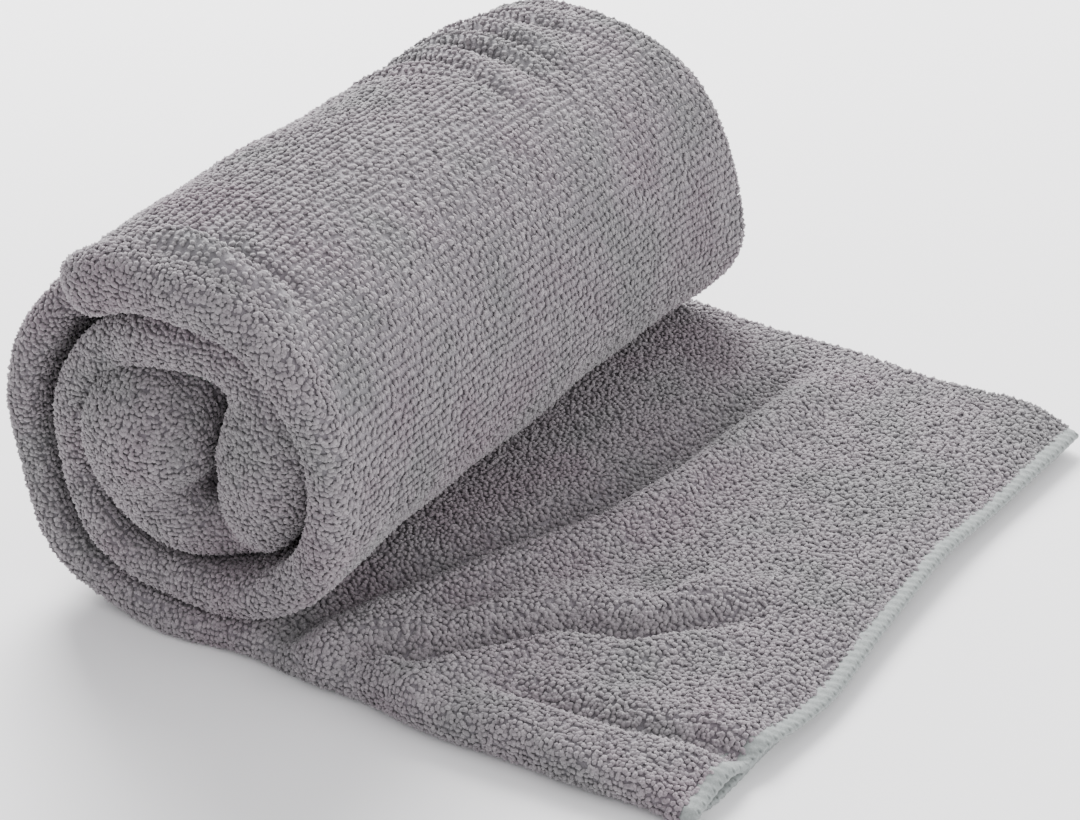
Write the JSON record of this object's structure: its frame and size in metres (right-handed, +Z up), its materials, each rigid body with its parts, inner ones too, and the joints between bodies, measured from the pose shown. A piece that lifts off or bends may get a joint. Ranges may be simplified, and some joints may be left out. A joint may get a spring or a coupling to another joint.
{
  "type": "quick dry towel",
  "caption": "Looped terry travel towel, its long edges folded in, folded in half and rolled up, with its overlocked end lying flat.",
  "frame": {"origin": "on the surface the towel lies on, under the middle of the roll and half way across its width", "axes": "+Z up, +X from the roll towards the loose end's edge, +Y along the roll's own axis"},
  "size_m": [0.1905, 0.2, 0.0999],
  "materials": {
    "terry_cloth": "looped terry pile, grey melange",
    "overlock_thread": "spun thread, light grey"
  },
  "bodies": {
    "roll": {"rolled_cloth": "terry_cloth", "outer_flap_hem_rolled": "overlock_thread", "inner_flap_hem_rolled": "overlock_thread", "inner_end_hem": "overlock_thread"},
    "loose_end": {"loose_end_cloth": "terry_cloth", "outer_flap_hem_loose": "overlock_thread", "inner_flap_hem_loose": "overlock_thread", "outer_end_hem": "overlock_thread"}
  },
  "joints": [
    {"name": "loose_end_lift", "type": "hinge", "parent": "roll", "child": "loose_end", "pos_m": [0.054, 0, 0.0088], "axis": [0, -1, 0], "range_deg": [0, 90]}
  ]
}
